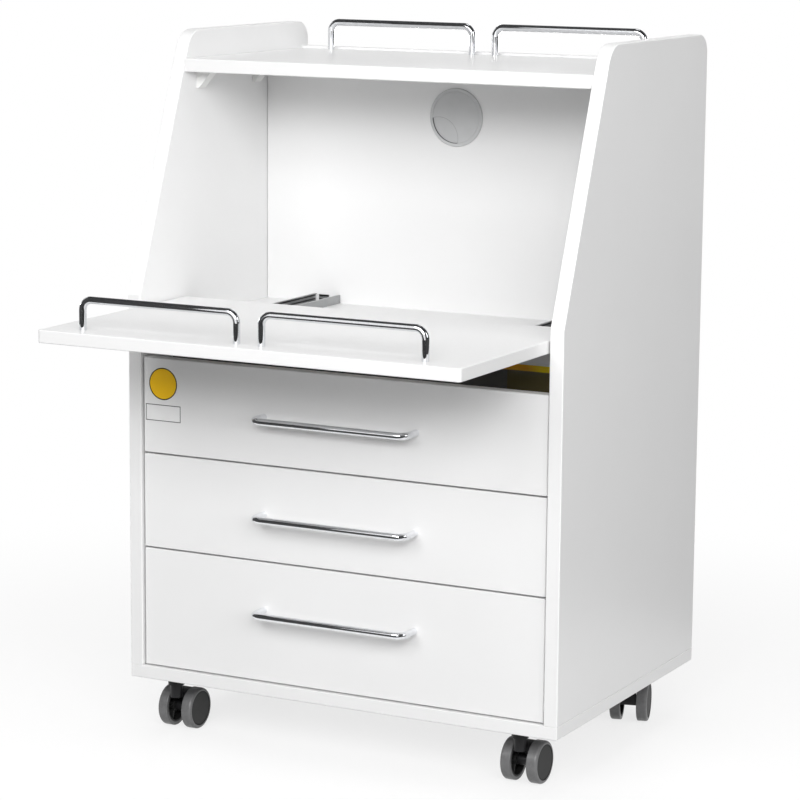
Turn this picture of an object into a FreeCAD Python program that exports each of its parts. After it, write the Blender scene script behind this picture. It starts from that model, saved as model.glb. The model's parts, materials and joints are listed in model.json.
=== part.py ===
"""Mobile treatment cabinet: a desk bay with a pull-out worktop over three drawers, on castors.

The origin lies on the floor under the middle of the whole outline. +X is the right-hand
side, -Y the front and +Z up. All lengths are millimetres. The worktop is drawn pulled out
and the drawers are drawn closed.
"""
import FreeCAD, Part
import os
import re
import Sketcher

doc = FreeCAD.newDocument("TreatmentCabinet")

# ---------------------------------------------------------------- driving dimensions
DIMENSIONS = {
    # carcass
    "width": 540, "depth": 385, "side_t": 16, "board_t": 15, "edge_break": 0.8,
    "castor_h": 67.5, "side_top": 805.5, "kink_z": 512.5, "top_depth": 273.4,
    "corner_front_r": 30, "corner_rear_r": 22, "back_top": 776,
    "top_panel_z": 758.5, "top_panel_front": 96, "cable_space": 100,
    "shelf_z": 461, "shelf_setback": 67.5, "cable_notch_w": 60, "cable_notch_d": 22,
    "block_leg": 20, "block_w": 15, "block_tip": 3, "block_front": 123, "block_rear": 35,
    "block_shelf_front": 128, "back_joint": 0.7,
    # cable grommet in the bay's back board
    "grommet_z": 705, "grommet_flange_r": 34, "grommet_bore_r": 30, "grommet_flange_t": 2,
    "grommet_lid_r": 30, "grommet_gap": 0.3, "grommet_seat": 1.4, "grommet_ledge_r": 26,
    "grommet_wall": 1.6, "grommet_edge": 0.8, "grommet_press": 0.1, "grommet_pin_r": 3,
    "grommet_hub_r": 6.5, "grommet_snap": 0.5, "notch_r": 24.5, "notch_x": -21.8, "notch_z": -24.8,
    "lid_edge": 0.4,
    # worktop and its slides
    "worktop_out": 207.5, "worktop_depth": 301, "worktop_t": 14, "worktop_gap": 2,
    "worktop_corner_r": 4, "worktop_travel": 190,
    "slide_w": 35, "slide_t": 10, "slide_proud": 0.5, "slide_gauge": 1.2, "slide_lip": 2.9,
    "middle_w": 25.4, "middle_web": 2.4, "middle_edge": 9.2, "inner_w": 15, "inner_edge": 4.6,
    "slide_cx": 170, "slide_front": 73.5, "slide_l": 211, "slide_member_l": 208,
    "stop_w": 13, "stop_h": 8.7, "stop_side": 11,
    # wire handles and rails
    "wire_d": 8, "wire_bend": 11, "handle_cc": 190, "handle_reach": 28, "rail_h": 33,
    "worktop_rail_inset": 24, "worktop_rail_left": -114, "worktop_rail_right": 106,
    "top_rail_inset": 26.5, "top_rail_left": -112, "top_rail_right": 108,
    # drawers, counted from the top
    "drawer_gap": 2, "front_recess": 3.5, "front_h_3": 137, "front_h_2": 108, "front_h_1": 109,
    "front_z_3": 84, "front_z_2": 223, "front_z_1": 333, "handle_drop": 55,
    "box_t": 12, "box_l": 300, "box_h_1": 72, "box_h_2": 80, "box_h_3": 106, "box_lift": 12,
    "tray_t": 3, "tray_lift": 10, "tray_play": 0.2, "groove_d": 6, "drawer_slide_l": 300,
    "drawer_slide_inset": 1,
    # UV lamp above the top drawer
    "hood_l": 380, "hood_d": 120, "hood_h": 30, "hood_front": 100, "hood_gauge": 1,
    "tube_d": 16, "tube_l": 288, "tube_z": 446, "tube_y": 62, "tube_cap_d": 16.8, "tube_cap_l": 12,
    "holder_t": 12, "holder_w": 22, "ballast_l": 150, "ballast_w": 28, "ballast_h": 20,
    "ballast_back": 18, "shield_t": 4, "shield_h": 36, "shield_flange": 20, "shield_play": 1,
    # mains inlet in the rear panel
    "inlet_x": -175, "inlet_z": 400, "inlet_w": 28, "inlet_h": 48, "inlet_flange": 4,
    "inlet_proud": 2, "inlet_d": 28, "inlet_play": 0.2, "socket_w": 24, "socket_h": 16,
    "socket_d": 15, "socket_drop": 11, "pin_w": 2, "pin_h": 4.5, "pin_l": 12, "pin_pitch": 7,
    "earth_lift": 3, "rocker_r": 8, "rocker_l": 21, "rocker_play": 0.3, "rocker_rise": 11,
    "rocker_sink": 5, "rocker_proud": 1.2,
    # twin-wheel castors
    "castor_inset_y": 35.5, "castor_left": 39.2, "castor_right": 59.6, "castor_trail": 18,
    "wheel_r": 24, "wheel_w": 12.5, "wheel_gap": 19.3, "wheel_play": 0.6, "wheel_hub_r": 6.5,
    "wheel_web": 4.5, "tread_t": 4.2, "tread_r": 2.8, "tread_inner_r": 0.8, "rib_t": 1.6,
    "wheel_cap": 0.3, "wheel_step": 0.5, "axle_d": 6, "axle_l": 38, "running_gap": 0.05,
    "plate_w": 38, "plate_t": 2.5, "plate_pitch": 28, "plate_hole_d": 4.4, "plate_play": 0.5,
    "stem_d": 7, "stem_foot": 41, "stem_wall": 3.5, "stem_play": 0.3, "boss_foot": 39.5,
    "collar_r": 9.5, "collar_h": 10,
    "cowl_r": 23, "cowl_t": 2, "cowl_web": 8, "cowl_lip": 15.4,
}

dims = doc.addObject("Spreadsheet::Sheet", "Dims")
for row, (alias, value) in enumerate(DIMENSIONS.items(), start=1):
    dims.set(f"A{row}", alias)
    dims.set(f"B{row}", str(value))
    dims.setAlias(f"B{row}", alias)
doc.recompute()

# Places that several pieces share, as expressions of the sheet's cells.
SHIFT = "(worktop_out - inlet_proud) / 2"
FRONT = f"({SHIFT} - depth / 2)"
REAR = f"({SHIFT} + depth / 2)"
INNER_X = "(width / 2 - side_t)"
DECK = "(castor_h + board_t)"
SHELF_TOP = "(shelf_z + board_t)"
WORKTOP_Z = "(shelf_z + board_t + slide_t + slide_proud)"
WORKTOP_FRONT = f"({FRONT} - worktop_out)"
BAY_BACK = f"({REAR} - cable_space)"
DRAWER_FRONT = f"({FRONT} + front_recess)"
BOX_FRONT = f"({FRONT} + front_recess + side_t)"
BOX_X = f"({INNER_X} - slide_t - slide_proud)"

GROMMET_SLOT_TURN = 41  # degrees about Y that turn the ring's half floor under the lid's slot

nodes = []


def cells(expression):
    """Write a cell's alias as the sheet's own property, as FreeCAD's expressions want it."""
    def link(match):
        word = match.group(0)
        return f"Dims.{word}" if word in DIMENSIONS else word
    return re.sub(r"[a-z][a-z0-9_]*", link, str(expression))


def number(expression):
    """The expression's present value, to draw a sketch near its final shape."""
    return float(dims.evalExpression(cells(expression)))


def bind(thing, **properties):
    """Drive properties by expressions: bind(box, Length="width / 2")."""
    for name, expression in properties.items():
        thing.setExpression(name, cells(expression))


def place(thing, x="0", y="0", z="0"):
    """Drive a piece's position."""
    for axis, expression in zip("xyz", (x, y, z)):
        thing.setExpression(f"Placement.Base.{axis}", cells(expression))


def node(thing, label):
    """Name a finished piece and list it for export."""
    thing.Label = label
    nodes.append(thing)
    return thing


# ---------------------------------------------------------------- sketches and bodies
def new_body(name):
    return doc.addObject("PartDesign::Body", name)


def origin_plane(body, role):
    for plane in body.Origin.OriginFeatures:
        if plane.Role == role:
            return plane
    raise ValueError(role)


def new_sketch(body, role, offset=None):
    """A sketch on one of the body's origin planes, lifted along its normal by offset."""
    sketch = body.newObject("Sketcher::SketchObject", f"{body.Name}_sketch")
    sketch.AttachmentSupport = [(origin_plane(body, role), "")]
    sketch.MapMode = "FlatFace"
    if offset:
        sketch.setExpression("AttachmentOffset.Base.z", cells(offset))
    return sketch


def pin(sketch, geometry, position, x, y):
    """Hold a sketch point at x, y, measured from the sketch's origin."""
    for kind, expression in (("DistanceX", x), ("DistanceY", y)):
        value = number(expression)
        index = sketch.addConstraint(
            Sketcher.Constraint(kind, -1, 1, geometry, position, value))
        sketch.setExpression(f"Constraints[{index}]", cells(expression))


def polygon(body, role, points, offset=None):
    """A closed outline of straight lines through points, each a pair of expressions."""
    sketch = new_sketch(body, role, offset)
    spots = [FreeCAD.Vector(number(x), number(y), 0) for x, y in points]
    count = len(spots)
    for i in range(count):
        sketch.addGeometry(Part.LineSegment(spots[i], spots[(i + 1) % count]))
    for i in range(count):
        sketch.addConstraint(Sketcher.Constraint("Coincident", i, 2, (i + 1) % count, 1))
    for i, (x, y) in enumerate(points):
        pin(sketch, i, 1, x, y)
    return sketch


def circle(body, role, x, y, radius, offset=None):
    """A circle whose centre and radius are expressions."""
    sketch = new_sketch(body, role, offset)
    centre = FreeCAD.Vector(number(x), number(y), 0)
    up = FreeCAD.Vector(0, 0, 1)
    sketch.addGeometry(Part.Circle(centre, up, number(radius)))
    index = sketch.addConstraint(Sketcher.Constraint("Radius", 0, number(radius)))
    sketch.setExpression(f"Constraints[{index}]", cells(radius))
    pin(sketch, 0, 3, x, y)
    return sketch


def pad(body, sketch, length, reverse=False):
    feature = body.newObject("PartDesign::Pad", f"{body.Name}_pad")
    feature.Profile = sketch
    feature.Reversed = reverse
    bind(feature, Length=length)
    sketch.Visibility = False
    return feature


def pocket(body, sketch, length, reverse=False):
    """Cut a pocket, and stop if it cuts nothing."""
    doc.recompute()
    before = body.Shape.Volume
    feature = body.newObject("PartDesign::Pocket", f"{body.Name}_pocket")
    feature.Profile = sketch
    feature.Reversed = reverse
    bind(feature, Length=length)
    doc.recompute()
    if body.Shape.Volume >= before - 1e-6:
        raise RuntimeError(f"{body.Label}: a pocket cuts nothing")
    return feature


def revolve(body, sketch, axis_role):
    feature = body.newObject("PartDesign::Revolution", f"{body.Name}_revolution")
    feature.Profile = sketch
    axis = origin_plane(body, axis_role)
    feature.ReferenceAxis = (axis, [""])
    feature.Angle = 360
    return feature


def edges(body, keep):
    """The body's tip with the names of its edges that keep() accepts."""
    doc.recompute()
    tip = body.Tip
    return tip, [f"Edge{i}" for i, edge in enumerate(tip.Shape.Edges, start=1) if keep(edge)]


def fillet(body, radius, keep):
    """Round the edges that keep() accepts."""
    base = edges(body, keep)
    feature = body.newObject("PartDesign::Fillet", f"{body.Name}_fillet")
    feature.Base = base
    bind(feature, Radius=radius)
    return feature


def chamfer(body, size, keep):
    """Break the edges that keep() accepts."""
    base = edges(body, keep)
    feature = body.newObject("PartDesign::Chamfer", f"{body.Name}_chamfer")
    feature.Base = base
    bind(feature, Size=size)
    return feature


def board(label, x0, x1, y0, y1, z0, z1):
    """A flat board between two corners."""
    body = new_body(label)
    outline = [("0", "0"), (f"{x1} - ({x0})", "0"),
               (f"{x1} - ({x0})", f"{y1} - ({y0})"), ("0", f"{y1} - ({y0})")]
    pad(body, polygon(body, "XY_Plane", outline), f"{z1} - ({z0})")
    place(body, x0, y0, z0)
    return node(body, label)


def soften(body):
    """Break all edges of an edge-banded board."""
    return chamfer(body, "edge_break", lambda edge: edge.Length > 5)


# ---------------------------------------------------------------- Part helpers
def box(name, length, width, height, x="0", y="0", z="0"):
    solid = doc.addObject("Part::Box", name)
    bind(solid, Length=length, Width=width, Height=height)
    place(solid, x, y, z)
    return solid


def cylinder(name, radius, height, x="0", y="0", z="0", along="z"):
    solid = doc.addObject("Part::Cylinder", name)
    bind(solid, Radius=radius, Height=height)
    turns = {"z": (FreeCAD.Vector(0, 0, 1), 0),
             "x": (FreeCAD.Vector(0, 1, 0), 90),
             "y": (FreeCAD.Vector(1, 0, 0), -90)}
    solid.Placement.Rotation = FreeCAD.Rotation(*turns[along])
    place(solid, x, y, z)
    return solid


def cut(name, base, *tools):
    result = doc.addObject("Part::Cut", name)
    result.Base = base
    result.Tool = tools[0] if len(tools) == 1 else fuse(f"{name}_tools", *tools)
    return result


def fuse(name, *shapes):
    result = doc.addObject("Part::MultiFuse", name)
    result.Shapes = list(shapes)
    result.Refine = True
    return result


def group(name, *pieces):
    """Identical pieces that share a node as separate solids."""
    result = doc.addObject("Part::Compound", name)
    result.Links = list(pieces)
    return result


# ---------------------------------------------------------------- carcass
def build_side(label, x0):
    """One side panel: upright below the worktop, leaning back above it."""
    body = new_body(label)
    top_front = f"({REAR} - top_depth)"
    outline = [(FRONT, DECK), (REAR, DECK), (REAR, "side_top"),
               (top_front, "side_top"), (FRONT, "kink_z")]
    pad(body, polygon(body, "YZ_Plane", outline), "side_t")
    top, lean = number("side_top"), number(top_front)

    def corner(y):
        def at(edge):
            here = edge.CenterOfMass
            return abs(here.z - top) < 0.1 and abs(here.y - y) < 0.1
        return at

    fillet(body, "corner_rear_r", corner(number(REAR)))
    fillet(body, "corner_front_r", corner(lean))
    chamfer(body, "edge_break", lambda edge: edge.Length > 18)
    place(body, x=x0)
    return node(body, label)


build_side("side_panel_left", "-width / 2")
build_side("side_panel_right", INNER_X)

bottom = board("bottom_panel", "-width / 2", "width / 2", FRONT, REAR, "castor_h", DECK)
soften(bottom)

top = board("top_panel", f"-{INNER_X}", INNER_X, f"{SHIFT} - top_panel_front",
            f"{REAR} - board_t", "top_panel_z", "top_panel_z + board_t")
soften(top)

back = board("back_panel", f"-{INNER_X}", INNER_X, f"{REAR} - board_t", REAR, DECK, "back_top")
inlet_hole = [(f"inlet_x + {INNER_X} + ({sx}) * inlet_w / 2",
               f"inlet_z - {DECK} + ({sz}) * inlet_h / 2")
              for sx, sz in ((-1, -1), (1, -1), (1, 1), (-1, 1))]
pocket(back, polygon(back, "XZ_Plane", inlet_hole), "board_t * 2")

BACK_HALF = f"({INNER_X} - back_joint)"  # the back board stops just short of the side panels
bay_back = board("compartment_back", f"-{BACK_HALF}", BACK_HALF, BAY_BACK,
                 f"{BAY_BACK} + board_t", SHELF_TOP, "top_panel_z")
pocket(bay_back, circle(bay_back, "XZ_Plane", BACK_HALF, f"grommet_z - {SHELF_TOP}",
                        "grommet_bore_r"), "board_t * 2")

shelf = board("fixed_shelf", f"-{INNER_X}", INNER_X, f"{FRONT} + shelf_setback",
              f"{REAR} - board_t", "shelf_z", SHELF_TOP)
SHELF_D = "(depth - board_t - shelf_setback)"
notch = [(f"{INNER_X} + ({sx}) * cable_notch_w / 2", f"{SHELF_D} - ({sy}) * cable_notch_d")
         for sx, sy in ((-1, 0), (-1, 1), (1, 1), (1, 0))]
pocket(shelf, polygon(shelf, "XY_Plane", notch), "board_t * 2", reverse=True)


def corner_block(name, side, y, z):
    """A triangular plastic block in the corner under a board, against a side panel."""
    body = new_body(name)
    outline = [("0", "0"), (f"{-side} * block_leg", "0"), (f"{-side} * block_tip", "-block_leg"),
               ("0", "-block_leg")]
    pad(body, polygon(body, "XZ_Plane", outline), "block_w", reverse=True)
    place(body, f"{side} * {INNER_X}", y, z)
    return body


blocks = []
for side in (-1, 1):
    for where, y, z in (("top_front", f"{FRONT} + block_front", "top_panel_z"),
                        ("top_rear", f"{BAY_BACK} - block_rear", "top_panel_z"),
                        ("shelf_front", f"{FRONT} + block_shelf_front", "shelf_z"),
                        ("shelf_rear", f"{REAR} - board_t - block_rear", "shelf_z")):
        blocks.append(corner_block(f"block_{where}_{side + 1}", side, y, z))
node(group("corner_blocks_group", *blocks), "corner_blocks")


# ---------------------------------------------------------------- cable grommet
def build_grommet():
    """A ring pressed into the bay's back board, half closed by a floor, and the lid that turns on it.

    The lid has a lens-shaped cable slot. Its pin snaps through the hub in the middle of the floor.
    """
    ring = new_body("grommet_ring_body")
    sleeve = "(grommet_bore_r - grommet_press)"
    seat = "(grommet_lid_r + running_gap)"
    ledge = "(grommet_seat - grommet_flange_t)"
    profile = [("grommet_ledge_r", ledge), (seat, ledge), (seat, "-grommet_flange_t"),
               ("grommet_flange_r - grommet_edge", "-grommet_flange_t"),
               ("grommet_flange_r", "-grommet_flange_t + grommet_edge"),
               ("grommet_flange_r", "0"),
               (sleeve, "0"), (sleeve, "board_t + 1"),
               (f"{sleeve} - grommet_wall", "board_t + 1"),
               (f"{sleeve} - grommet_wall", f"{ledge} + grommet_wall"),
               ("grommet_ledge_r", f"{ledge} + grommet_wall")]
    revolve(ring, polygon(ring, "XY_Plane", profile), "Y_Axis")
    place(ring, "0", BAY_BACK, "grommet_z")
    floor_y = f"{BAY_BACK} + {ledge}"
    half = cylinder("grommet_half_floor", "grommet_ledge_r + 1", "grommet_wall", "0", floor_y,
                    "grommet_z", along="y")
    half.Angle = 180
    toward_slot = FreeCAD.Rotation(FreeCAD.Vector(0, 1, 0), GROMMET_SLOT_TURN)
    half.Placement.Rotation = toward_slot * half.Placement.Rotation
    hub = cylinder("grommet_hub", "grommet_hub_r", "grommet_wall", "0", floor_y, "grommet_z",
                   along="y")
    bore = cylinder("grommet_bore", "grommet_pin_r + running_gap", "grommet_wall * 3", "0",
                    f"{floor_y} - grommet_wall", "grommet_z", along="y")
    node(cut("grommet_ring_cut", fuse("grommet_ring_fused", ring, half, hub), bore), "grommet_ring")

    lid = new_body("grommet_lid_body")
    back = f"({ledge} - grommet_gap)"
    tail = f"({ledge} + grommet_wall + grommet_gap)"
    point = f"({tail} + grommet_wall)"
    disc = [("0", "-grommet_flange_t"), ("grommet_lid_r - lid_edge", "-grommet_flange_t"),
            ("grommet_lid_r", "-grommet_flange_t + lid_edge"), ("grommet_lid_r", back),
            ("grommet_pin_r", back), ("grommet_pin_r", tail),
            ("grommet_pin_r + grommet_snap", tail), ("grommet_pin_r - grommet_snap", point),
            ("0", point)]
    revolve(lid, polygon(lid, "XY_Plane", disc), "Y_Axis")
    slot = circle(lid, "XZ_Plane", "notch_x", "notch_z", "notch_r", offset="grommet_flange_t * 2")
    pocket(lid, slot, "grommet_flange_t * 4")
    place(lid, "0", BAY_BACK, "grommet_z")
    node(lid, "grommet_lid")


build_grommet()


# ---------------------------------------------------------------- wire handles and rails
def wire_handle(label, centre_x, y, z, reach, lying):
    """A bent wire with two feet: standing on a board, or lying out from a front."""
    body = new_body(label)
    spine = new_sketch(body, "XZ_Plane")
    half, bend, high = number("handle_cc / 2"), number("wire_bend"), number(reach)
    v = FreeCAD.Vector
    up = v(0, 0, 1)
    left_arc = Part.ArcOfCircle(Part.Circle(v(-half + bend, high - bend, 0), up, bend),
                                1.5707963, 3.1415926)
    right_arc = Part.ArcOfCircle(Part.Circle(v(half - bend, high - bend, 0), up, bend), 0, 1.5707963)
    spine.addGeometry(Part.LineSegment(v(-half, 0, 0), v(-half, high - bend, 0)))
    spine.addGeometry(left_arc)
    spine.addGeometry(Part.LineSegment(v(-half + bend, high, 0), v(half - bend, high, 0)))
    spine.addGeometry(right_arc)
    spine.addGeometry(Part.LineSegment(v(half, high - bend, 0), v(half, 0, 0)))
    for joint in ((0, 2, 1, 2), (1, 1, 2, 1), (2, 2, 3, 2), (3, 1, 4, 1)):
        spine.addConstraint(Sketcher.Constraint("Tangent", *joint))
    for index in (0, 4):
        spine.addConstraint(Sketcher.Constraint("Vertical", index))
    for index in (1, 3):
        radius = spine.addConstraint(Sketcher.Constraint("Radius", index, bend))
        spine.setExpression(f"Constraints[{radius}]", cells("wire_bend"))
    pin(spine, 0, 1, "-handle_cc / 2", "0")
    pin(spine, 4, 2, "handle_cc / 2", "0")
    rise = spine.addConstraint(Sketcher.Constraint("DistanceY", -1, 1, 2, 1, high))
    spine.setExpression(f"Constraints[{rise}]", cells(reach))
    section = circle(body, "XY_Plane", "-handle_cc / 2", "0", "wire_d / 2")
    pipe = body.newObject("PartDesign::AdditivePipe", f"{label}_pipe")
    pipe.Profile = section
    pipe.Spine = (spine, [])
    if lying:
        body.Placement.Rotation = FreeCAD.Rotation(FreeCAD.Vector(1, 0, 0), 90)
    place(body, centre_x, y, z)
    return node(body, label)


for side in ("left", "right"):
    wire_handle(f"worktop_rail_{side}", f"worktop_rail_{side}",
                f"{WORKTOP_FRONT} + worktop_rail_inset", f"{WORKTOP_Z} + worktop_t",
                "rail_h", lying=False)
    wire_handle(f"top_rail_{side}", f"top_rail_{side}", f"{REAR} - top_rail_inset",
                "top_panel_z + board_t", "rail_h", lying=False)

# ---------------------------------------------------------------- worktop and its slides
worktop = board("worktop_board", f"-({INNER_X} - worktop_gap)", f"{INNER_X} - worktop_gap",
                WORKTOP_FRONT, f"{WORKTOP_FRONT} + worktop_depth", WORKTOP_Z,
                f"{WORKTOP_Z} + worktop_t")
fillet(worktop, "worktop_corner_r", lambda edge: abs(edge.Length - number("worktop_t")) < 0.1)
chamfer(worktop, "edge_break", lambda edge: edge.Length > 20)


def channel(half, low, high, lip):
    """Half outlines of a rolled channel, mirrored: its web at low, its flanges up to high."""
    gauge = "slide_gauge"
    rising = [(f"-({half})", low), (f"{half}", low), (f"{half}", high),
              (f"{half} - ({lip})", high), (f"{half} - ({lip})", f"{high} - {gauge}"),
              (f"{half} - {gauge}", f"{high} - {gauge}"), (f"{half} - {gauge}", f"{low} + {gauge}")]
    falling = [(f"-({x})", y) for x, y in reversed(rising[2:])]
    return rising + falling


def flat_channel(half, web, edge, sign):
    """A plain channel: its web starts at web and its flanges end at edge."""
    gauge = f"({sign}) * slide_gauge"
    return [(f"-({half})", web), (f"{half}", web), (f"{half}", edge),
            (f"{half} - slide_gauge", edge), (f"{half} - slide_gauge", f"{web} + {gauge}"),
            (f"-({half}) + slide_gauge", f"{web} + {gauge}"), (f"-({half}) + slide_gauge", edge),
            (f"-({half})", edge)]


OUTER_SECTION = channel("slide_w / 2", "0", "slide_t", "slide_lip")
MIDDLE_SECTION = flat_channel("middle_w / 2", "middle_web", "middle_edge", 1)
INNER_SECTION = flat_channel("inner_w / 2", "slide_t + slide_proud", "inner_edge", -1)
DRAWER_SECTION = flat_channel("middle_w / 2", "slide_t + slide_proud", "middle_web", -1)


def slide_member(name, section, length, x, y, z, turn=0):
    """A length of rolled slide section that runs back from y, turned about the Y axis."""
    body = new_body(name)
    pad(body, polygon(body, "XZ_Plane", section), length, reverse=True)
    body.Placement.Rotation = FreeCAD.Rotation(FreeCAD.Vector(0, 1, 0), turn)
    place(body, x, y, z)
    return body


SLIDE_Y = f"({FRONT} + slide_front)"
for side, sign in (("left", -1), ("right", 1)):
    outer = slide_member(f"worktop_slide_{side}_channel", OUTER_SECTION, "slide_l",
                         f"{sign} * slide_cx", SLIDE_Y, SHELF_TOP)
    stop = box(f"worktop_slide_{side}_stop", "stop_w", "slide_gauge", "stop_h",
               f"{sign} * slide_cx - stop_side", f"{SLIDE_Y} + slide_l - slide_gauge",
               f"{SHELF_TOP} + slide_gauge / 2")
    node(fuse(f"worktop_slide_{side}_fused", outer, stop), f"worktop_slide_outer_{side}")

middles = [slide_member(f"worktop_middle_{sign + 1}", MIDDLE_SECTION, "slide_member_l",
                        f"{sign} * slide_cx", f"{SLIDE_Y} - worktop_travel / 2", SHELF_TOP)
           for sign in (-1, 1)]
node(group("worktop_middles", *middles), "worktop_slides_middle")
inners = [slide_member(f"worktop_inner_{sign + 1}", INNER_SECTION, "slide_member_l",
                       f"{sign} * slide_cx", f"{SLIDE_Y} - worktop_travel", SHELF_TOP)
          for sign in (-1, 1)]
node(group("worktop_inners", *inners), "worktop_slides_inner")


# ---------------------------------------------------------------- drawers
def build_drawer(n):
    """Front, wire handle, three-sided box, sliding-in tray and the moving slide members."""
    low, high = f"front_z_{n}", f"front_h_{n}"
    front = board(f"drawer_{n}_front", f"-({INNER_X} - drawer_gap)", f"{INNER_X} - drawer_gap",
                  DRAWER_FRONT, BOX_FRONT, low, f"{low} + {high}")
    soften(front)
    wire_handle(f"drawer_{n}_handle", "0", DRAWER_FRONT, f"{low} + {high} - handle_drop",
                "handle_reach", lying=True)
    wrap = new_body(f"drawer_{n}_wrap_body")
    outline = [(f"-{BOX_X}", "0"), (f"-{BOX_X} + box_t", "0"),
               (f"-{BOX_X} + box_t", "box_l - box_t"), (f"{BOX_X} - box_t", "box_l - box_t"),
               (f"{BOX_X} - box_t", "0"), (BOX_X, "0"), (BOX_X, "box_l"), (f"-{BOX_X}", "box_l")]
    pad(wrap, polygon(wrap, "XY_Plane", outline), f"box_h_{n}")
    deep = f"({BOX_X} - box_t + groove_d)"
    groove = [(f"-{deep}", "-1"), (deep, "-1"), (deep, "box_l - box_t + groove_d"),
              (f"-{deep}", "box_l - box_t + groove_d")]
    pocket(wrap, polygon(wrap, "XY_Plane", groove, offset="tray_lift + tray_t"), "tray_t")
    box_z = f"({low} + box_lift)"
    place(wrap, "0", BOX_FRONT, box_z)
    node(wrap, f"drawer_{n}_box")
    tray_x = f"({deep} - tray_play)"
    board(f"drawer_{n}_tray", f"-{tray_x}", tray_x, BOX_FRONT,
          f"{BOX_FRONT} + box_l - box_t + groove_d - tray_play", f"{box_z} + tray_lift",
          f"{box_z} + tray_lift + tray_t")
    slide_z = f"{box_z} + box_h_{n} / 2"
    slide_y = f"({BOX_FRONT} + drawer_slide_inset)"
    moving = [slide_member(f"drawer_{n}_member_{sign + 1}", DRAWER_SECTION, "drawer_slide_l",
                           f"{sign} * {INNER_X}", slide_y, slide_z, turn=-sign * 90)
              for sign in (-1, 1)]
    node(group(f"drawer_{n}_members", *moving), f"drawer_{n}_slide_members")
    return [slide_member(f"drawer_{n}_channel_{sign + 1}", OUTER_SECTION, "drawer_slide_l",
                         f"{sign} * {INNER_X}", slide_y, slide_z, turn=-sign * 90)
            for sign in (-1, 1)]


channels = []
for n in (1, 2, 3):
    channels += build_drawer(n)
node(group("drawer_channels", *channels), "drawer_slides_outer")


# ---------------------------------------------------------------- UV lamp over the top drawer
def build_lamp():
    """Lamp tray, tube, tube holders, ballast and the amber shield before them."""
    hood_y = f"({SHIFT} - hood_front)"
    tray = new_body("uv_lamp_tray_body")
    gauge = "hood_gauge"
    outline = [("0", "-hood_h"), (gauge, "-hood_h"), (gauge, f"-{gauge}"),
               (f"hood_d - {gauge}", f"-{gauge}"), (f"hood_d - {gauge}", "-hood_h"),
               ("hood_d", "-hood_h"), ("hood_d", "0"), ("0", "0")]
    pad(tray, polygon(tray, "YZ_Plane", outline), "hood_l")
    place(tray, "-hood_l / 2", hood_y, "shelf_z")
    node(tray, "uv_lamp_tray")

    tube_y = f"({hood_y} + tube_y)"
    tube = new_body("uv_tube_body")
    cap_r, glass_end = "tube_cap_d / 2", "(tube_l / 2 - tube_cap_l)"
    profile = [("0", "-tube_l / 2"), (cap_r, "-tube_l / 2"), (cap_r, f"-{glass_end}"),
               ("tube_d / 2", f"-{glass_end}"), ("tube_d / 2", glass_end), (cap_r, glass_end),
               (cap_r, "tube_l / 2"), ("0", "tube_l / 2")]
    revolve(tube, polygon(tube, "XY_Plane", profile), "Y_Axis")
    tube.Placement.Rotation = FreeCAD.Rotation(FreeCAD.Vector(0, 0, 1), 90)
    place(tube, "0", tube_y, "tube_z")
    node(tube, "uv_tube")

    holders = []
    for sign in (-1, 1):
        x0 = f"{sign} * (tube_l / 2 + holder_t / 2) - holder_t / 2"
        foot = box(f"holder_foot_{sign + 1}", "holder_t", "holder_w",
                   f"shelf_z - {gauge} - tube_z", x0, f"{tube_y} - holder_w / 2", "tube_z")
        head = cylinder(f"holder_head_{sign + 1}", "holder_w / 2", "holder_t", x0, tube_y,
                        "tube_z", along="x")
        holders.append(fuse(f"holder_{sign + 1}", foot, head))
    node(group("holder_pair", *holders), "uv_lampholders")

    ballast_y = f"({tube_y} + ballast_back)"
    ballast = board("uv_ballast", "-ballast_l / 2", "ballast_l / 2", ballast_y,
                    f"{ballast_y} + ballast_w", f"shelf_z - {gauge} - ballast_h",
                    f"shelf_z - {gauge}")
    soften(ballast)

    shield = new_body("uv_shield_body")
    angle = [("0", "0"), ("0", "-shield_h"), ("shield_t", "-shield_h"), ("shield_t", "-shield_t"),
             ("shield_flange", "-shield_t"), ("shield_flange", "0")]
    half = f"({INNER_X} - shield_play)"
    pad(shield, polygon(shield, "YZ_Plane", angle), f"2 * {half}")
    place(shield, f"-{half}", f"{FRONT} + shelf_setback", "shelf_z")
    node(shield, "uv_shield")


build_lamp()


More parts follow.
